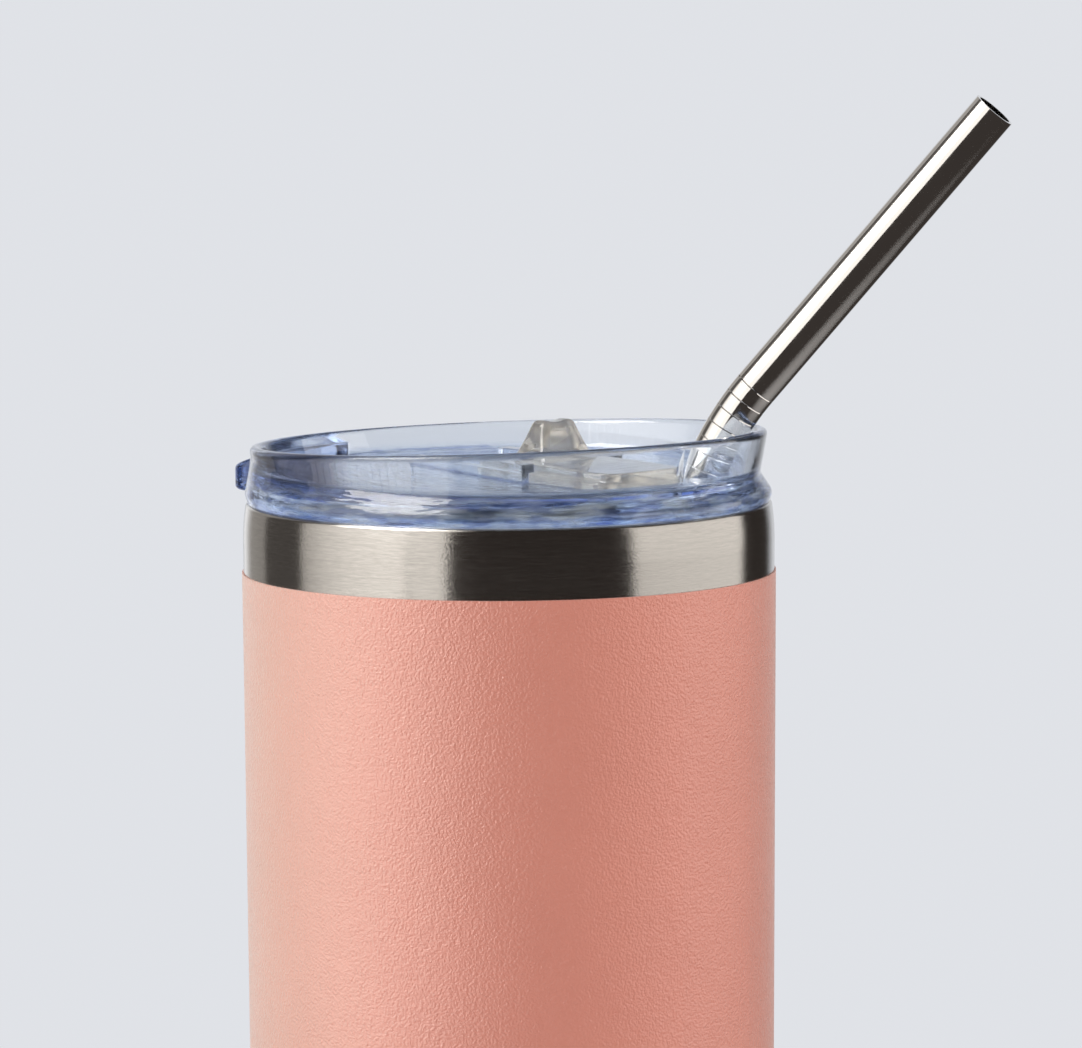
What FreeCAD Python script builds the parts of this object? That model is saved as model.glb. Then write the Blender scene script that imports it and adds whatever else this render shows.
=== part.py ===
import FreeCAD, Part
import math
import os

# Insulated straw tumbler: a double-walled steel cup, a clear press-in lid with a sliding
# closure, and a bent steel straw.  Millimetres, +Z up, origin at the centre of the base.
# "Lid frame" means: X towards the drinking lip, Z = 0 at the top of the cup's steel rim.

Vec = FreeCAD.Vector
UP = Vec(0, 0, 1)

# ---- cup ----
RIM_Z = 155.0             # top of the steel rim
SHEET = 0.5               # thickness of every drawn steel sheet
SHELL_R_TOP = 36.33       # outer wall just under its softened lip
SHELL_R_BASE = 35.4       # outer wall where the base corner starts
LIP_SOFT = 5.0            # height over which the outer wall eases into the lip
WELD_R = 35.4             # seam between outer shell and inner liner, on top of the rim
CORNER_R = 3.5            # outer corner at the base
SHELL_BOTTOM_Z = 0.9
BAND = 9.5                # bare steel between the rim and the coating
COAT = 0.2                # powder coat thickness
COAT_END_DEG = 60.0       # how far round the base corner the coating reaches

MOUTH_R = 33.4            # inside of the mouth, where the lid seals
MOUTH_DEPTH = 13.0
MOUTH_STEP = 4.0          # height of the taper under the mouth
LINER_R_TOP = 32.2
LINER_R_BASE = 31.4
LINER_CORNER_R = 5.0
FLOOR_Z = 9.0             # inside floor of the cup

DIMPLE_R = 27.0           # raised middle of the outer bottom
DIMPLE_Z = 2.9
VENT_R = 1.0              # hole the vacuum is drawn through
COVER_R = 31.4
GETTER_X = 13.0

# ---- lid, in the lid frame ----
LID_YAW = -48.0           # direction of the drinking lip about +Z, from +X
LID_GAP = 0.05            # the flange rests on the steel rim
FLANGE_R = 35.7
BULGE_R, BULGE_Z = 36.05, 1.3
WAIST_R, WAIST_SHIFT, WAIST_Z, WAIST_SLOPE = 34.8, -0.6, 5.0, -0.056
LIP_R, LIP_Z, LIP_SLOPE = 35.5, 8.75, 0.045
LIP_WALL = 1.6
FLOOR_TOP, FLOOR_THICK = 3.6, 2.0
RECESS_R = 32.4
PLUG_R, PLUG_WALL, PLUG_DEPTH = 32.6, 1.4, 9.0
GROOVE_TOP, GROOVE_TALL, GROOVE_DEEP = -2.8, 3.8, 0.6
BULGE_SOFT, TAB_SOFT = 1.2, 0.7
TAB_YAW = 15.0            # turns the thumb tab away from the point opposite the drinking lip
TAB_R, TAB_HALF, TAB_CORNER = 40.6, 10.0, 4.0
TAB_LOW, TAB_TIP_TOP, TAB_ROOT_TOP = 0.2, 3.4, 5.0
SIP_X, SIP_LONG, SIP_WIDE = 21.6, 8.6, 11.0
STRAW_HOLE_R = 5.9
AIR_HOLE_X, AIR_HOLE_R = -21.0, 1.0

# ---- sliding closure, in the lid frame ----
SLIDE_CLEAR = 0.1
SLIDER_BACK, SLIDER_NOSE = 1.5, 27.4
FOOT_HALF, FOOT_TALL = 7.8, 1.1
PLATE_HALF, PLATE_TALL = 6.7, 1.2
RAIL_BACK, RAIL_FRONT, RAIL_WALL, RAIL_LIP = -10.0, 13.0, 1.2, 1.0
KNOB_X, KNOB_TOP, KNOB_DIP, KNOB_SOFT = 9.2, 12.0, 0.5, 1.15
KNOB_FOOT_X, KNOB_WAIST_X, KNOB_CREST_X = 4.0, 2.4, 1.45
KNOB_FOOT_Y, KNOB_WAIST_Y, KNOB_CREST_Y = 5.0, 3.8, 2.7

# ---- straw ----
STRAW_R, STRAW_WALL = 3.0, 0.45
STRAW_X, STRAW_Y = 24.2, -3.0     # axis of the upright leg
STRAW_YAW = -10.0                 # direction the drinking end points
BEND_R = 40.0
BEND_DEG = 40.65
BEND_START = -10.4                # below the steel rim
TOP_LEG = 49.9
STRAW_LIFTED = 0.5                # above the inside floor
RING_COUNT, RING_PITCH, RING_DEEP, RING_TALL = 8, 2.25, 0.07, 0.22

# ---- straw stop ring ----
STOP_R, STOP_TALL, STOP_TOP, STOP_CLEAR = 6.7, 4.0, -14.0, 0.05


def outline(start, *steps):
    """Closed wire in the XZ plane.  A step is (r, z), or ((r, z), (r, z)): an arc's middle and end."""
    edges = []
    here = Vec(start[0], 0, start[1])
    for step in steps + (start,):
        if isinstance(step[0], tuple):
            middle = Vec(step[0][0], 0, step[0][1])
            there = Vec(step[1][0], 0, step[1][1])
            edges.append(Part.Arc(here, middle, there).toShape())
        else:
            there = Vec(step[0], 0, step[1])
            if (there - here).Length < 1e-6:
                continue
            edges.append(Part.LineSegment(here, there).toShape())
        here = there
    return Part.Wire(edges)


def turned(start, *steps):
    """Solid of revolution about Z from an outline of (radius, height) points."""
    return Part.Face(outline(start, *steps)).revolve(Vec(0, 0, 0), UP, 360)


def on_arc(centre, radius, degrees):
    angle = math.radians(degrees)
    return (centre[0] + radius * math.cos(angle), centre[1] + radius * math.sin(angle))


def cylinder(radius, low, high, x=0.0, y=0.0):
    return Part.makeCylinder(radius, high - low, Vec(x, y, low))


def block(x_low, x_high, half_width, low, high):
    return Part.makeBox(x_high - x_low, 2 * half_width, high - low, Vec(x_low, -half_width, low))


def tilted_circle(radius, z, slope=0.0, shift=0.0):
    """Circle in a plane that climbs by slope towards +X, centred shift along X."""
    circle = Part.Circle(Vec(shift, 0, z + slope * shift), Vec(-slope, 0, 1), radius)
    circle.XAxis = Vec(1, 0, slope)
    return Part.Wire(circle.toShape())


def from_lid_frame(shape):
    shape.rotate(Vec(0, 0, 0), UP, LID_YAW)
    shape.translate(Vec(0, 0, RIM_Z))
    return shape


def fillet_where(shape, radius, wanted):
    edges = [edge for edge in shape.Edges if wanted(edge)]
    return shape.makeFillet(radius, edges)


# ---------------------------------------------------------------- cup

def shell_radius(z):
    """Outer radius of the steel wall, which narrows a little towards the base."""
    low = SHELL_BOTTOM_Z + CORNER_R
    share = (z - low) / (RIM_Z - LIP_SOFT - low)
    return SHELL_R_BASE + (SHELL_R_TOP - SHELL_R_BASE) * share


CORNER = (SHELL_R_BASE - CORNER_R, SHELL_BOTTOM_Z + CORNER_R)


def make_outer_shell():
    soft_z = RIM_Z - LIP_SOFT
    inner = CORNER_R - SHEET
    return turned(
        (WELD_R, RIM_Z),
        ((WELD_R + 0.42, RIM_Z - 0.17), (WELD_R + 0.6, RIM_Z - 0.6)),
        ((SHELL_R_TOP - 0.1, RIM_Z - 2.6), (SHELL_R_TOP, soft_z)),
        (SHELL_R_BASE, CORNER[1]),
        (on_arc(CORNER, CORNER_R, -45), on_arc(CORNER, CORNER_R, -90)),
        on_arc(CORNER, inner, -90),
        (on_arc(CORNER, inner, -45), on_arc(CORNER, inner, 0)),
        (SHELL_R_TOP - SHEET, soft_z),
        ((SHELL_R_TOP - SHEET - 0.08, RIM_Z - 2.6), (WELD_R + 0.12, RIM_Z - 0.8)),
        (WELD_R, RIM_Z - SHEET))


def make_inner_liner():
    step_top = RIM_Z - MOUTH_DEPTH
    step_low = step_top - MOUTH_STEP
    corner = (LINER_R_BASE - LINER_CORNER_R, FLOOR_Z + LINER_CORNER_R)
    outer = LINER_CORNER_R + SHEET
    return turned(
        (WELD_R, RIM_Z),
        (MOUTH_R + SHEET, RIM_Z),
        (on_arc((MOUTH_R + SHEET, RIM_Z - SHEET), SHEET, 135), (MOUTH_R, RIM_Z - SHEET)),
        (MOUTH_R, step_top),
        (LINER_R_TOP, step_low),
        (LINER_R_BASE, corner[1]),
        (on_arc(corner, LINER_CORNER_R, -45), on_arc(corner, LINER_CORNER_R, -90)),
        (0, FLOOR_Z),
        (0, FLOOR_Z - SHEET),
        on_arc(corner, outer, -90),
        (on_arc(corner, outer, -45), on_arc(corner, outer, 0)),
        (LINER_R_TOP + SHEET, step_low),
        (MOUTH_R + SHEET, step_top),
        (MOUTH_R + SHEET, RIM_Z - SHEET),
        (WELD_R, RIM_Z - SHEET))


def make_outer_base():
    rim_r = CORNER[0]
    ledge_r = DIMPLE_R + 2.5
    low, high = SHELL_BOTTOM_Z, SHELL_BOTTOM_Z + SHEET
    return turned(
        (rim_r, low), (ledge_r, low), (DIMPLE_R, DIMPLE_Z), (VENT_R, DIMPLE_Z),
        (VENT_R, DIMPLE_Z + SHEET), (DIMPLE_R - 0.2, DIMPLE_Z + SHEET),
        (ledge_r - 0.2, high), (rim_r, high))


def make_vacuum_seal():
    """Glass bead: a stem in the hole and a flattened drop under it."""
    return turned(
        (0, DIMPLE_Z + SHEET), (VENT_R, DIMPLE_Z + SHEET), (VENT_R, DIMPLE_Z), (3.0, DIMPLE_Z),
        (2.4, DIMPLE_Z - 0.7), (0, DIMPLE_Z - 0.9))


def make_base_cover():
    soft = 0.5
    return turned(
        (0, 0), (COVER_R - soft, 0),
        (on_arc((COVER_R - soft, soft), soft, -45), (COVER_R, soft)),
        (COVER_R, SHELL_BOTTOM_Z), (0, SHELL_BOTTOM_Z))


def make_powder_coat():
    top = RIM_Z - BAND
    outer = CORNER_R + COAT
    half, end = -COAT_END_DEG / 2, -COAT_END_DEG
    return turned(
        (shell_radius(top), top), (shell_radius(top) + COAT, top),
        (SHELL_R_BASE + COAT, CORNER[1]),
        (on_arc(CORNER, outer, half), on_arc(CORNER, outer, end)),
        on_arc(CORNER, CORNER_R, end),
        (on_arc(CORNER, CORNER_R, half), (SHELL_R_BASE, CORNER[1])))


def make_getter_parts():
    """A pill that soaks up stray gas, held under the liner in a spot-welded tin cup."""
    top = FLOOR_Z - SHEET
    tin, pill_r, pill_tall = 0.3, 4.6, 2.0
    holder = turned(
        (0, top - 3.2), (pill_r + tin, top - 3.2), (pill_r + tin, top - tin),
        (pill_r + 2.4, top - tin), (pill_r + 2.4, top), (pill_r, top),
        (pill_r, top - 3.2 + tin), (0, top - 3.2 + tin))
    pill = cylinder(pill_r, top - 3.2 + tin, top - 3.2 + tin + pill_tall)
    for piece in (holder, pill):
        piece.translate(Vec(GETTER_X, 0, 0))
    return holder, pill


# ---------------------------------------------------------------- lid

def make_tab():
    """Thumb tab at the low side of the lid: a rounded tongue that thins towards its tip."""
    reach, root, tall = TAB_R - TAB_CORNER, -FLANGE_R + 4, TAB_ROOT_TOP - TAB_LOW
    plan = block(-reach, root, TAB_HALF, TAB_LOW, TAB_ROOT_TOP)
    plan = plan.fuse(block(-TAB_R, -reach + 1, TAB_HALF - TAB_CORNER, TAB_LOW, TAB_ROOT_TOP))
    for side in (-1, 1):
        corner_y = side * (TAB_HALF - TAB_CORNER)
        plan = plan.fuse(cylinder(TAB_CORNER, TAB_LOW, TAB_ROOT_TOP, -reach, corner_y))
    side_view = Part.Face(outline(
        (-TAB_R - 1, TAB_LOW), (root, TAB_LOW), (root, TAB_ROOT_TOP), (-FLANGE_R, TAB_ROOT_TOP),
        (-TAB_R, TAB_TIP_TOP), (-TAB_R - 1, TAB_TIP_TOP)))
    wedge = side_view.extrude(Vec(0, 2 * TAB_HALF + 2, 0))
    wedge.translate(Vec(0, -TAB_HALF - 1, 0))
    tab = plan.common(wedge).removeSplitter()

    def outside(edge):
        box = edge.BoundBox
        return box.XMin < -FLANGE_R - 1 and box.ZLength < 0.7 * tall
    tab = fillet_where(tab, TAB_SOFT, outside)
    tab.rotate(Vec(0, 0, 0), UP, TAB_YAW)
    return tab


def make_rails():
    """Two hooked rails that hold the foot of the sliding closure down on the lid's floor."""
    outer_y = FOOT_HALF + 0.2 + RAIL_WALL
    hook_low = FLOOR_TOP + SLIDE_CLEAR + FOOT_TALL + 0.15
    top = hook_low + 1.1
    ribs = block(RAIL_BACK, RAIL_FRONT, outer_y, FLOOR_TOP - 0.5, top)
    ribs = ribs.cut(block(RAIL_BACK - 1, RAIL_FRONT + 1, FOOT_HALF + 0.2, FLOOR_TOP - 1, hook_low))
    return ribs.cut(block(RAIL_BACK - 1, RAIL_FRONT + 1, FOOT_HALF - RAIL_LIP + 0.2, hook_low - 1, top + 1))


def rounded_slot(x_middle, long, wide, low, high, radius):
    slot = Part.makeBox(long, wide, high - low, Vec(x_middle - long / 2, -wide / 2, low))
    upright = [edge for edge in slot.Edges if abs(edge.tangentAt(edge.FirstParameter).z) > 0.99]
    return slot.makeFillet(radius, upright)


def straw_in_lid_frame():
    angle = math.radians(-LID_YAW)
    return (STRAW_X * math.cos(angle) - STRAW_Y * math.sin(angle),
            STRAW_X * math.sin(angle) + STRAW_Y * math.cos(angle))


def make_lid_body():
    sections = [
        tilted_circle(FLANGE_R, LID_GAP),
        tilted_circle(BULGE_R, BULGE_Z),
        tilted_circle(WAIST_R, WAIST_Z, WAIST_SLOPE, WAIST_SHIFT),
        tilted_circle(LIP_R, LIP_Z, LIP_SLOPE)]
    body = Part.makeLoft(sections, True, True)
    body = fillet_where(body, BULGE_SOFT, lambda edge: abs(edge.BoundBox.Center.z - BULGE_Z) < 0.1
                        and edge.BoundBox.ZLength < 0.1)
    body = body.fuse(make_tab())
    body = body.fuse(cylinder(PLUG_R, -PLUG_DEPTH, LID_GAP + 1))
    over = 1.0
    flare = (LIP_R - LIP_WALL - RECESS_R) / (LIP_Z - FLOOR_TOP)
    recess = Part.makeLoft([
        tilted_circle(RECESS_R, FLOOR_TOP),
        tilted_circle(LIP_R - LIP_WALL, LIP_Z, LIP_SLOPE),
        tilted_circle(LIP_R - LIP_WALL + flare * over, LIP_Z + over, LIP_SLOPE)], True, True)
    body = body.cut(recess)
    body = body.cut(cylinder(PLUG_R - PLUG_WALL, -PLUG_DEPTH - 1, FLOOR_TOP - FLOOR_THICK))
    groove = cylinder(PLUG_R + 1, GROOVE_TOP - GROOVE_TALL, GROOVE_TOP).cut(
        cylinder(PLUG_R - GROOVE_DEEP, GROOVE_TOP - GROOVE_TALL - 1, GROOVE_TOP + 1))
    body = body.cut(groove)
    body = body.fuse(make_rails())
    under, above = FLOOR_TOP - FLOOR_THICK - 1, FLOOR_TOP + 1
    body = body.cut(rounded_slot(SIP_X, SIP_LONG, SIP_WIDE, under, above, 3.0))
    hole_x, hole_y = straw_in_lid_frame()
    body = body.cut(cylinder(STRAW_HOLE_R, under, above, hole_x, hole_y))
    return body.cut(cylinder(AIR_HOLE_R, under, above, AIR_HOLE_X))


def soften_lid(body):
    """Round the drinking lip, the foot of the recess wall and the plug's lower edge."""
    def on_lip(edge):
        box = edge.BoundBox
        return box.ZMax > LIP_Z + 1 and box.XLength > 60

    def recess_foot(edge):
        box = edge.BoundBox
        return abs(box.ZMin - FLOOR_TOP) < 0.01 and box.ZLength < 0.01 and box.XLength > 60

    def plug_foot(edge):
        box = edge.BoundBox
        return abs(box.ZMax + PLUG_DEPTH) < 0.01 and box.XLength > 2 * PLUG_R - 0.5

    for radius, wanted in ((0.7, on_lip), (1.6, recess_foot), (0.5, plug_foot)):
        body = fillet_where(body, radius, wanted)
    return body


def make_lid_gasket():
    """Silicone ring with two soft fins that press on the inside of the mouth."""
    low, high = GROOVE_TOP - GROOVE_TALL, GROOVE_TOP
    base_r, fin_r = PLUG_R - GROOVE_DEEP, MOUTH_R - 0.15
    core_r = PLUG_R + 0.1
    return turned(
        (base_r, low), (core_r, low), (fin_r, low + 0.9), (fin_r, low + 1.2), (core_r, low + 1.4),
        (core_r, high - 1.3), (fin_r, high - 0.5), (fin_r, high - 0.2), (core_r, high),
        (base_r, high))


def make_knob(low):
    """Finger grip across the slide: a broad foot, sides that lean in, a dip along its top."""
    side = Part.Wire([
        Part.LineSegment(Vec(KNOB_X - KNOB_FOOT_X, 0, low), Vec(KNOB_X + KNOB_FOOT_X, 0, low)).toShape(),
        Part.Arc(Vec(KNOB_X + KNOB_FOOT_X, 0, low), Vec(KNOB_X + KNOB_WAIST_X, 0, (low + KNOB_TOP) / 2),
                 Vec(KNOB_X + KNOB_CREST_X, 0, KNOB_TOP)).toShape(),
        Part.LineSegment(Vec(KNOB_X + KNOB_CREST_X, 0, KNOB_TOP),
                         Vec(KNOB_X - KNOB_CREST_X, 0, KNOB_TOP)).toShape(),
        Part.Arc(Vec(KNOB_X - KNOB_CREST_X, 0, KNOB_TOP),
                 Vec(KNOB_X - KNOB_WAIST_X, 0, (low + KNOB_TOP) / 2),
                 Vec(KNOB_X - KNOB_FOOT_X, 0, low)).toShape()])
    grip = Part.Face(side).extrude(Vec(0, 2 * KNOB_FOOT_Y, 0))
    grip.translate(Vec(0, -KNOB_FOOT_Y, 0))
    half, crest = KNOB_FOOT_Y, KNOB_CREST_Y
    front = Part.Wire([
        Part.LineSegment(Vec(0, -half, low), Vec(0, half, low)).toShape(),
        Part.Arc(Vec(0, half, low), Vec(0, KNOB_WAIST_Y, (low + KNOB_TOP) / 2),
                 Vec(0, crest, KNOB_TOP)).toShape(),
        Part.Arc(Vec(0, crest, KNOB_TOP), Vec(0, 0, KNOB_TOP - KNOB_DIP), Vec(0, -crest, KNOB_TOP)).toShape(),
        Part.Arc(Vec(0, -crest, KNOB_TOP), Vec(0, -KNOB_WAIST_Y, (low + KNOB_TOP) / 2),
                 Vec(0, -half, low)).toShape()])
    envelope = Part.Face(front).extrude(Vec(4 * KNOB_FOOT_X, 0, 0))
    envelope.translate(Vec(KNOB_X - 2 * KNOB_FOOT_X, 0, 0))
    knob = grip.common(envelope)
    return fillet_where(knob, KNOB_SOFT, lambda edge: edge.BoundBox.ZMax > low + 0.1)


def make_slider():
    foot_low = FLOOR_TOP + SLIDE_CLEAR
    plate_low = foot_low + FOOT_TALL
    plate_top = plate_low + PLATE_TALL
    middle, long = (SLIDER_BACK + SLIDER_NOSE) / 2, SLIDER_NOSE - SLIDER_BACK
    foot = rounded_slot(middle, long, 2 * FOOT_HALF, foot_low, plate_low, 2.5)
    plate = rounded_slot(middle, long, 2 * PLATE_HALF, plate_low - 0.4, plate_top, 2.2)
    return foot.fuse(plate).fuse(make_knob(plate_top - 0.2)).removeSplitter()


# ---------------------------------------------------------------- straw

def straw_path():
    """Upright leg, one arc, and the drinking leg, in a vertical plane through the leg's axis."""
    foot = Vec(0, 0, FLOOR_Z + STRAW_LIFTED)
    bend_low = Vec(0, 0, RIM_Z + BEND_START)

    def on_bend(degrees):
        angle = math.radians(degrees)
        return bend_low + Vec(BEND_R * (1 - math.cos(angle)), 0, BEND_R * math.sin(angle))

    bend_high = on_bend(BEND_DEG)
    angle = math.radians(BEND_DEG)
    direction = Vec(math.sin(angle), 0, math.cos(angle))
    tip = bend_high + direction * TOP_LEG
    return [Part.LineSegment(foot, bend_low).toShape(),
            Part.Arc(bend_low, on_bend(BEND_DEG / 2), bend_high).toShape(),
            Part.LineSegment(bend_high, tip).toShape()], foot, bend_low


def swept(path, start, radius):
    section = Part.Wire(Part.Circle(start, UP, radius).toShape())
    return Part.Wire(path).makePipeShell([section], True, False)


def make_straw():
    path, foot, bend_low = straw_path()
    tube = swept(path, foot, STRAW_R)
    for index in range(RING_COUNT):
        degrees = BEND_DEG - math.degrees(index * RING_PITCH / BEND_R)
        angle = math.radians(degrees)
        place = bend_low + Vec(BEND_R * (1 - math.cos(angle)), 0, BEND_R * math.sin(angle))
        along = Vec(math.sin(angle), 0, math.cos(angle))
        half = RING_TALL / 2
        collar = Part.makeCylinder(STRAW_R + 1, RING_TALL, place - along * half, along)
        lower = Part.makeCone(STRAW_R + 0.01, STRAW_R - RING_DEEP, half, place - along * half, along)
        upper = Part.makeCone(STRAW_R - RING_DEEP, STRAW_R + 0.01, half, place, along)
        tube = tube.cut(collar.cut(lower.fuse(upper)))
    tube = tube.cut(swept(path, foot, STRAW_R - STRAW_WALL))
    tube.rotate(Vec(0, 0, 0), UP, STRAW_YAW)
    tube.translate(Vec(STRAW_X, STRAW_Y, 0))
    return tube


def make_straw_stop_ring():
    top = RIM_Z + STOP_TOP
    low = top - STOP_TALL
    inner, soft = STRAW_R + STOP_CLEAR, 0.8
    ring = turned(
        (inner, low), (STOP_R - soft, low),
        (on_arc((STOP_R - soft, low + soft), soft, -45), (STOP_R, low + soft)),
        (STOP_R, top - soft),
        (on_arc((STOP_R - soft, top - soft), soft, 45), (STOP_R - soft, top)),
        (inner, top))
    ring.translate(Vec(STRAW_X, STRAW_Y, 0))
    return ring


def main():
    os.makedirs("parts", exist_ok=True)
    getter_holder, getter = make_getter_parts()
    nodes = {
        "outer_shell": make_outer_shell(),
        "inner_liner": make_inner_liner(),
        "outer_base": make_outer_base(),
        "vacuum_seal": make_vacuum_seal(),
        "base_cover": make_base_cover(),
        "powder_coat": make_powder_coat(),
        "getter_holder": getter_holder,
        "getter": getter,
        "lid_body": from_lid_frame(soften_lid(make_lid_body())),
        "lid_gasket": from_lid_frame(make_lid_gasket()),
        "slider": from_lid_frame(make_slider()),
        "straw_stop_ring": make_straw_stop_ring(),
        "straw": make_straw(),
    }
    for name, shape in nodes.items():
        if len(shape.Solids) == 1:
            shape = shape.Solids[0]
        print(f"{name}: {len(shape.Solids)} solid, valid {shape.isValid()}, {shape.Volume:.1f} mm3")
        shape.exportStep(f"parts/{name}.step")


main()
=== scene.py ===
"""Insulated straw tumbler: materials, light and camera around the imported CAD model."""

import math

import bpy
from mathutils import Matrix, Vector


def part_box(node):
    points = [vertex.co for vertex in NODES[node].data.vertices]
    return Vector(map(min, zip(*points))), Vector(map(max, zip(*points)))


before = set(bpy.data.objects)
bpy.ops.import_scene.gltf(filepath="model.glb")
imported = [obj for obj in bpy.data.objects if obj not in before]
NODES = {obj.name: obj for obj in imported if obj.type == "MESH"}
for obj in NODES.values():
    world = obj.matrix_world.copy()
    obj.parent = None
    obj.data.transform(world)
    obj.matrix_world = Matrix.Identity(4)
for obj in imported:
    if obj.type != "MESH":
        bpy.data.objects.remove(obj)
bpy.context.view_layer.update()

MM = 0.001
RIM_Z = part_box("inner_liner")[1].z
RIM_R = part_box("outer_shell")[1].x


# ---------------------------------------------------------------- node helpers

class NodeTree:
    """Short calls that add nodes to one tree and link them."""

    def __init__(self, tree):
        self.tree = tree

    def add(self, kind, **values):
        node = self.tree.nodes.new(kind)
        for name, value in values.items():
            if hasattr(node, name):
                setattr(node, name, value)
            else:
                node.inputs[name.replace("_", " ")].default_value = value
        return node

    def link(self, output, node, socket):
        self.tree.links.new(output, node.inputs[socket])

    def math(self, operation, *values):
        node = self.add("ShaderNodeMath", operation=operation)
        for index, value in enumerate(values):
            if isinstance(value, (int, float)):
                node.inputs[index].default_value = value
            else:
                self.link(value, node, index)
        return node.outputs[0]

    def ramp(self, value, low, high, from_low=0.0, from_high=1.0):
        node = self.add("ShaderNodeMapRange")
        ends = {"From Min": from_low, "From Max": from_high, "To Min": low, "To Max": high}
        for socket, number in ends.items():
            node.inputs[socket].default_value = number
        self.link(value, node, "Value")
        return node.outputs["Result"]

    def blend_colors(self, value, low, high):
        """Mix two colours, each a tuple or another node's output."""
        node = self.add("ShaderNodeMix", data_type="RGBA")
        for index, color in ((6, low), (7, high)):
            if isinstance(color, tuple):
                node.inputs[index].default_value = (*color, 1)
            else:
                self.link(color, node, index)
        self.link(value, node, 0)
        return node.outputs[2]


class Shader(NodeTree):
    """A material with a Principled surface, and the textures and bumps that feed it."""

    def __init__(self, name, color=(0.8, 0.8, 0.8), **sockets):
        self.material = bpy.data.materials.new(name)
        self.material.use_nodes = True
        super().__init__(self.material.node_tree)
        self.surface = self.tree.nodes["Principled BSDF"]
        self.surface.inputs["Base Color"].default_value = (*color, 1)
        for socket, value in sockets.items():
            self.surface.inputs[socket.replace("_", " ")].default_value = value

    def feed(self, socket, output):
        """Link an output to one of the surface's sockets."""
        self.link(output, self.surface, socket)

    def object_point(self):
        return self.add("ShaderNodeTexCoord").outputs["Object"]

    def cylindrical(self):
        """Angle, height and radius of the surface point about the cup's axis."""
        parts = self.add("ShaderNodeSeparateXYZ")
        self.link(self.object_point(), parts, 0)
        x, y, z = parts.outputs
        radius = self.math("SQRT", self.math("ADD", self.math("MULTIPLY", x, x), self.math("MULTIPLY", y, y)))
        return self.math("ARCTAN2", y, x), z, radius

    def noise(self, point, scale, detail=2.0, roughness=0.5):
        node = self.add("ShaderNodeTexNoise", Scale=scale, Detail=detail, Roughness=roughness)
        self.link(point, node, "Vector")
        return node.outputs["Fac"]

    def streaks(self, per_radian, per_metre, detail=2.0, roughness=0.5):
        """Noise drawn out into streaks that run round the cup's axis."""
        scaled = self.add("ShaderNodeCombineXYZ")
        for index, (part, scale) in enumerate(zip(self.cylindrical(), (per_radian, per_metre, per_metre))):
            self.link(self.math("MULTIPLY", part, scale), scaled, index)
        return self.noise(scaled.outputs[0], 1.0, detail, roughness)

    def bump(self, height, distance, strength=1.0, under=None):
        node = self.add("ShaderNodeBump", Distance=distance, Strength=strength)
        self.link(height, node, "Height")
        if under is not None:
            self.link(under, node, "Normal")
        return node.outputs["Normal"]


def times(color, shades):
    """Colour with each channel times its own share."""
    return tuple(channel * share for channel, share in zip(color, shades))


def finish_with(node, material):
    """Give a CAD node its material in every slot."""
    data = NODES[node].data
    if not data.materials:
        data.materials.append(material)
    for index in range(len(data.materials)):
        data.materials[index] = material


# ---------------------------------------------------------------- materials

# Where the clear lid's colour is painted: its thick ring just above the steel rim, the thumb tab past the
# rim, and the stretch of its wall beside the tab. Each pair is where the change starts and ends.
RING_TOP = (RIM_Z + 3.0 * MM, RIM_Z + 4.5 * MM)
TAB_ROOT = (RIM_R + 0.8 * MM, RIM_R + 1.4 * MM)
WALL_INSIDE = (29 * MM, 31 * MM)
WALL_START = (math.radians(-160.3), math.radians(-156.9))
WALL_END = (math.radians(-135.7), math.radians(-127.1))

# Shares of the lid's colour in those places, and how much of its clearness the ring's pale streaks take. All
# are painted light:
# the ring's blue tint, its dark blue streaks and the dark tab and wall are painted dark refraction, and the
# pale streaks are painted highlights.
RING_PAINTED_TINT = (0.84, 0.92, 1.0)
RING_PAINTED_DARK_STREAK = (0.42, 0.50, 0.74)
WALL_PAINTED_DARK_REFRACTION = (0.30, 0.29, 0.34)
TAB_PAINTED_DARK_REFRACTION = (0.22, 0.30, 0.50)
RING_PAINTED_HIGHLIGHT = 0.27

# Darkest and lightest share of a steel's own colour along its brushing.
STREAK_DARK, STREAK_LIGHT = (0.82,) * 3, (1.06,) * 3


def powder_coat():
    """Salmon powder coat: fine orange peel with a soft speckle."""
    s = Shader("powder_coat", Roughness=0.42, IOR=2.0, Specular_IOR_Level=0.66,
               Sheen_Weight=0.6, Sheen_Roughness=0.34)
    point = s.object_point()
    peel = s.noise(point, 2800, 1.0)
    swell = s.noise(point, 420)
    tone = s.ramp(s.noise(point, 60, 3.0, 0.55), 0.0, 1.0, 0.3, 0.7)
    s.feed("Base Color", s.blend_colors(tone, (0.735, 0.212, 0.144), (0.765, 0.227, 0.157)))
    s.feed("Roughness", s.ramp(peel, 0.38, 0.50))
    s.feed("Normal", s.bump(swell, 0.16 * MM, 0.4, s.bump(peel, 0.17 * MM, 0.9)))
    return s.material


def turned_steel(name, color, rough, spread, anisotropy=0.92):
    """Steel brushed around the cup's axis, with streaks that run round it."""
    s = Shader(name, color, Metallic=1.0, Roughness=rough, Anisotropic=anisotropy, Anisotropic_Rotation=0.25)
    s.feed("Tangent", s.add("ShaderNodeTangent", direction_type="RADIAL", axis="Z").outputs[0])
    fine = s.streaks(22.0, 6500, 2.0, 0.6)
    long = s.streaks(6.0, 3200, 3.0, 0.6)
    scratch = s.streaks(90.0, 5600, 2.0, 0.6)
    both = s.math("ADD", s.math("MULTIPLY", fine, 0.6), s.math("MULTIPLY", long, 0.4))
    s.feed("Roughness", s.ramp(both, rough - spread, rough + spread, 0.3, 0.7))
    tone = s.ramp(both, 0, 1, 0.3, 0.7)
    s.feed("Base Color", s.blend_colors(tone, times(color, STREAK_DARK), times(color, STREAK_LIGHT)))
    s.feed("Normal", s.bump(scratch, 0.020 * MM, 0.6, s.bump(both, 0.01 * MM, 0.35)))
    return s.material


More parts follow.
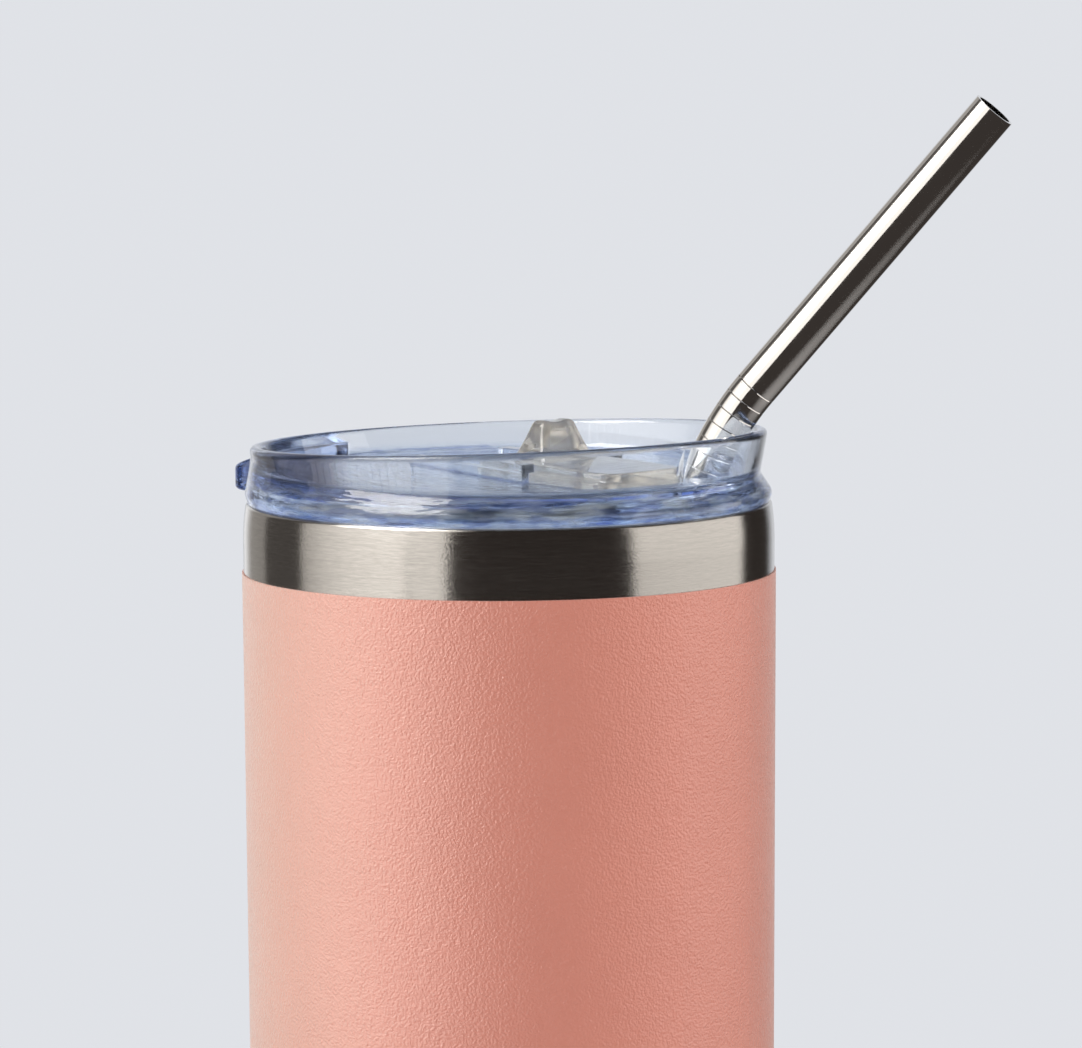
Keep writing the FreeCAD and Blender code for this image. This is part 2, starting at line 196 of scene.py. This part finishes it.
def lid_zones(s):
    """Masks of the lid's thick ring, of its thumb tab and of the stretch of wall beside the tab: the zones of
    painted light.
    """
    angle, height, radius = s.cylindrical()
    low = s.ramp(height, 1.0, 0.0, *RING_TOP)
    tab = s.ramp(radius, 0.0, 1.0, *TAB_ROOT)
    ring = s.math("MULTIPLY", low, s.math("SUBTRACT", 1.0, tab))
    span = s.math("MULTIPLY", s.ramp(angle, 0.0, 1.0, *WALL_START), s.ramp(angle, 1.0, 0.0, *WALL_END))
    above = s.math("SUBTRACT", s.ramp(radius, 0.0, 1.0, *WALL_INSIDE), low)
    return ring, tab, s.math("MULTIPLY", span, above)


def absorb(s, tint, density):
    """Tint that deepens with thickness, with lamplight let straight through."""
    output = s.tree.nodes["Material Output"]
    depth = s.add("ShaderNodeVolumeAbsorption", Density=density)
    depth.inputs["Color"].default_value = (*tint, 1)
    s.link(depth.outputs[0], output, "Volume")
    lamps = s.add("ShaderNodeMixShader")
    s.link(s.add("ShaderNodeLightPath").outputs["Is Shadow Ray"], lamps, 0)
    s.link(s.surface.outputs[0], lamps, 1)
    s.link(s.add("ShaderNodeBsdfTransparent", Color=(0.90, 0.92, 0.96, 1)).outputs[0], lamps, 2)
    s.link(lamps.outputs[0], output, "Surface")


def clear_plastic(name, body, tint, density, haze, rough=0.02):
    """Clear moulded plastic with soft corners, a thin skin haze and a tint that deepens with thickness.

    In the thick ring near the steel rim, flow marks run round it as relief, with dark blue and pale streaks
    painted round it: painted dark refraction and painted highlights. The thumb tab and a stretch of the
    wall beside it are painted dark blue, as painted dark refraction.
    """
    s = Shader(name, body, Roughness=rough, IOR=1.53, Transmission_Weight=1.0 - haze)
    ripple = s.noise(s.object_point(), 110)
    smear = s.noise(s.object_point(), 38, 3.0, 0.6)
    ring, tab, wall = lid_zones(s)

    corners = s.add("ShaderNodeBevel", samples=6, Radius=0.45 * MM)
    soft = s.bump(ripple, 0.08 * MM, 0.5, corners.outputs[0])
    s.feed("Normal", s.bump(s.math("MULTIPLY", s.streaks(5.0, 900), ring), 0.20 * MM, 0.8, soft))
    s.feed("Roughness", s.ramp(smear, rough * 0.4, rough * 1.8, 0.3, 0.7))

    clear = s.ramp(smear, 1.0 - haze * 1.3, 1.0 - haze * 0.7, 0.3, 0.7)
    # Pale streaks in the ring: painted highlights, laid in as haze.
    pale = s.math("MULTIPLY", ring, s.ramp(s.streaks(5.0, 1100), 0.0, 1.0, 0.40, 0.65))
    s.feed("Transmission Weight", s.math("SUBTRACT", clear, s.math("MULTIPLY", pale, RING_PAINTED_HIGHLIGHT)))

    # Blue tint and dark blue streaks in the ring: painted dark refraction.
    painted_dark_streaks = s.ramp(s.streaks(8.0, 700), 0.0, 1.0, 0.48, 0.60)
    ring_painted_color = s.blend_colors(painted_dark_streaks, times(body, RING_PAINTED_TINT), times(body, RING_PAINTED_DARK_STREAK))
    color = s.blend_colors(ring, body, ring_painted_color)
    # Wall beside the tab: painted dark refraction.
    color = s.blend_colors(wall, color, times(body, WALL_PAINTED_DARK_REFRACTION))
    # Thumb tab: painted dark refraction.
    s.feed("Base Color", s.blend_colors(tab, color, times(body, TAB_PAINTED_DARK_REFRACTION)))
    absorb(s, tint, density)
    return s.material


def polished_straw():
    """Drawn steel tube: near-mirror, with a faint haze and tiny wear marks."""
    s = Shader("polished_straw", (0.80, 0.78, 0.76), Metallic=1.0, Roughness=0.1)
    point = s.object_point()
    haze = s.noise(point, 700, 3.0, 0.6)
    s.feed("Roughness", s.ramp(haze, 0.05, 0.12, 0.3, 0.7))
    s.feed("Base Color", s.blend_colors(s.noise(point, 140), (0.68, 0.665, 0.645), (0.76, 0.75, 0.735)))
    s.feed("Normal", s.bump(haze, 0.006 * MM, 0.4))
    return s.material


def silicone(name, color):
    """Soft satin silicone with a fine grain."""
    s = Shader(name, color, Roughness=0.5, Subsurface_Weight=0.2)
    s.surface.inputs["Subsurface Radius"].default_value = (2 * MM,) * 3
    grain = s.noise(s.object_point(), 900)
    s.feed("Roughness", s.ramp(grain, 0.42, 0.6))
    s.feed("Base Color", s.blend_colors(grain, times(color, (0.93,) * 3), color))
    s.feed("Normal", s.bump(grain, 0.03 * MM, 0.4))
    return s.material


def sintered():
    """Dark, rough, porous metal of the getter pill."""
    s = Shader("sintered_getter", (0.12, 0.12, 0.125), Metallic=0.6, Roughness=0.7)
    grain = s.noise(s.object_point(), 2500, 4.0, 0.7)
    s.feed("Base Color", s.blend_colors(grain, (0.07, 0.07, 0.075), (0.18, 0.18, 0.185)))
    s.feed("Normal", s.bump(grain, 0.08 * MM, 0.7))
    return s.material


def fused_glass():
    """Grey-green glass bead, half clear."""
    s = Shader("fused_glass", (0.30, 0.38, 0.33), Roughness=0.12, Transmission_Weight=0.4)
    mottle = s.noise(s.object_point(), 1200, 3.0, 0.6)
    s.feed("Base Color", s.blend_colors(mottle, (0.22, 0.30, 0.26), (0.42, 0.50, 0.45)))
    return s.material


def dress_nodes():
    """Put each CAD node in its own material."""
    liner = turned_steel("liner_steel", (0.56, 0.55, 0.53), 0.34, 0.06, 0.6)
    base = turned_steel("spun_base", (0.44, 0.43, 0.415), 0.28, 0.08)
    materials = {
        "outer_shell": turned_steel("brushed_rim", (0.445, 0.430, 0.408), 0.20, 0.05),
        "inner_liner": liner,
        "getter_holder": liner,
        "outer_base": base,
        "base_cover": base,
        "powder_coat": powder_coat(),
        "vacuum_seal": fused_glass(),
        "getter": sintered(),
        "lid_body": clear_plastic("clear_lid", (0.915, 0.95, 0.985), (0.49, 0.60, 0.84), 52, 0.012),
        "slider": clear_plastic("clear_slider", (0.95, 0.93, 0.89), (0.82, 0.77, 0.68), 75, 0.08),
        "lid_gasket": silicone("lid_silicone", (0.80, 0.82, 0.84)),
        "straw_stop_ring": silicone("stop_silicone", (0.80, 0.82, 0.84)),
        "straw": polished_straw(),
    }
    for node, material in materials.items():
        finish_with(node, material)


# ---------------------------------------------------------------- stage

# The studio: its pale backdrop and table, the even light on matt skin, and the dim room that metal mirrors.
# Metal sees the backdrop only straight behind the cup: it appears as a direction's Y goes from the first
# number to the second.
PALE = (0.745, 0.762, 0.80)
SOFT = (0.93, 0.88, 0.82)
DARK = (0.050, 0.042, 0.038)
BACKDROP_EDGE = (0.86, 0.95)

# Table top: a disc just under the cup, which fades out from the first radius to the second. Metres.
FLOOR_RADIUS = 0.45
FLOOR_FADE = (0.10, 0.26)
FLOOR_SIDES = 96
FLOOR_GAP = 0.02 * MM

# Light panels stand around the cup. Their azimuths are degrees from the camera's side, left negative.
# The key starts near the camera, is brightest where its slices begin, and ends where the dark gap begins.
PANEL_DISTANCE = 0.9
PANEL_HEIGHT = 2.4
PANEL_Z = 0.30
PANEL_AIM_Z = RIM_Z * 0.7
WARM = (1.0, 0.96, 0.91)
COOL = (0.55, 1.0, 0.92)
KEY_START, KEY_BRIGHT, KEY_END = -25.5, -44.0, -99.5
KEY_SLICES = 14
GAP_END = -128

# Camera, in metres: how far in front of the cup's axis, above its rim and to the right it stands, and how
# far under the rim it looks.
CAMERA_DISTANCE = 1.0
CAMERA_RISE = 0.107
CAMERA_SIDE = 4.4 * MM
AIM_DROP = 3.3 * MM
LENS_MM = 244.9
ROLL_DEGREES = -0.33


def make_world():
    """Studio that is pale to the eye and through the lid, even on matt skin and dim in mirroring metal."""
    world = bpy.data.worlds.new("studio")
    bpy.context.scene.world = world
    world.use_nodes = True
    sky = NodeTree(world.node_tree)
    ray = sky.add("ShaderNodeLightPath").outputs
    direction = sky.add("ShaderNodeSeparateXYZ")
    sky.link(sky.add("ShaderNodeTexCoord").outputs["Generated"], direction, 0)
    mirrored = sky.blend_colors(sky.ramp(direction.outputs["Y"], 0.0, 1.0, *BACKDROP_EDGE), DARK, PALE)
    through = sky.math("GREATER_THAN", ray["Transmission Depth"], 0.5)
    seen = sky.math("MAXIMUM", ray["Is Camera Ray"], through)
    unseen = sky.blend_colors(ray["Is Diffuse Ray"], mirrored, SOFT)
    sky.link(sky.blend_colors(seen, unseen, PALE), sky.tree.nodes["Background"], "Color")


def make_floor():
    """Pale table top that fades into the studio a hand's width behind the cup."""
    mesh = bpy.data.meshes.new("floor")
    edge = [(FLOOR_RADIUS * math.cos(turn), FLOOR_RADIUS * math.sin(turn), -FLOOR_GAP)
            for turn in (2 * math.pi * side / FLOOR_SIDES for side in range(FLOOR_SIDES))]
    mesh.from_pydata(edge, [], [list(range(FLOOR_SIDES))])
    floor = bpy.data.objects.new("floor", mesh)
    bpy.context.scene.collection.objects.link(floor)
    s = Shader("floor", PALE, Roughness=0.6)
    reach = s.add("ShaderNodeVectorMath", operation="LENGTH")
    s.link(s.object_point(), reach, 0)
    s.feed("Alpha", s.ramp(reach.outputs["Value"], 1.0, 0.0, *FLOOR_FADE))
    mesh.materials.append(s.material)


def softbox(name, first, last, radiance, height=PANEL_HEIGHT, z=PANEL_Z, color=WARM, only=None):
    """Upright light panel between two azimuths, mirrored by shiny skin and not seen by matt skin.

    With only, a collection, it lights nothing but the objects in it.
    """
    turn, half = math.radians((first + last) / 2), math.radians(abs(last - first) / 2)
    width = 2 * PANEL_DISTANCE * math.tan(half)
    data = bpy.data.lights.new(name, "AREA")
    data.shape = "RECTANGLE"
    data.size, data.size_y, data.color = width, height, color
    data.energy = radiance * math.pi * width * height
    light = bpy.data.objects.new(name, data)
    place = Vector((PANEL_DISTANCE * math.sin(turn), -PANEL_DISTANCE * math.cos(turn), z))
    light.location = place
    light.rotation_euler = (Vector((0, 0, PANEL_AIM_Z)) - place).to_track_quat("-Z", "Y").to_euler()
    light.visible_diffuse = False
    light.light_linking.receiver_collection = only
    bpy.context.scene.collection.objects.link(light)


def make_lights():
    """Key on the left that dims towards the back, dim panels behind it, and a low fill on the right.

    A bright panel stands high above the key, and a cool one far left gives the coat its pale sheen.
    """
    softbox("key_near", KEY_START, KEY_BRIGHT, 1.38)
    step = (KEY_END - KEY_BRIGHT) / KEY_SLICES
    for index in range(KEY_SLICES):
        first = KEY_BRIGHT + step * index
        share = (index + 0.5) / KEY_SLICES
        softbox(f"key_{index}", first, first + step, 1.71 - 1.01 * share ** 2.6)
    softbox("key_high", KEY_BRIGHT, -95, 8.0, height=0.8, z=1.2)
    softbox("gap", KEY_END, GAP_END, 0.07)
    softbox("rim", GAP_END, -165, 0.40)
    softbox("fill", 53.5, 121, 1.43, height=0.78, z=0.27)
    coat = bpy.data.collections.new("coat_only")
    coat.objects.link(NODES["powder_coat"])
    softbox("coat_glow", -57, -152, 1.45, color=COOL, only=coat)


def make_camera():
    """Long lens a little above the rim, looking slightly down and turned a third of a degree."""
    data = bpy.data.cameras.new("camera")
    data.sensor_width = 36.0
    data.lens = LENS_MM
    data.clip_start, data.clip_end = 0.01, 100.0
    camera = bpy.data.objects.new("camera", data)
    place = Vector((CAMERA_SIDE, -CAMERA_DISTANCE, RIM_Z + CAMERA_RISE))
    aim = Vector((CAMERA_SIDE, 0, RIM_Z - AIM_DROP))
    turn = (aim - place).to_track_quat("-Z", "Y").to_matrix().to_4x4()
    roll = Matrix.Rotation(math.radians(ROLL_DEGREES), 4, "Z")
    camera.matrix_world = Matrix.Translation(place) @ turn @ roll
    bpy.context.scene.collection.objects.link(camera)
    bpy.context.scene.camera = camera


def main():
    dress_nodes()
    make_world()
    make_floor()
    make_lights()
    make_camera()
    bpy.context.scene.view_settings.view_transform = "Standard"


main()
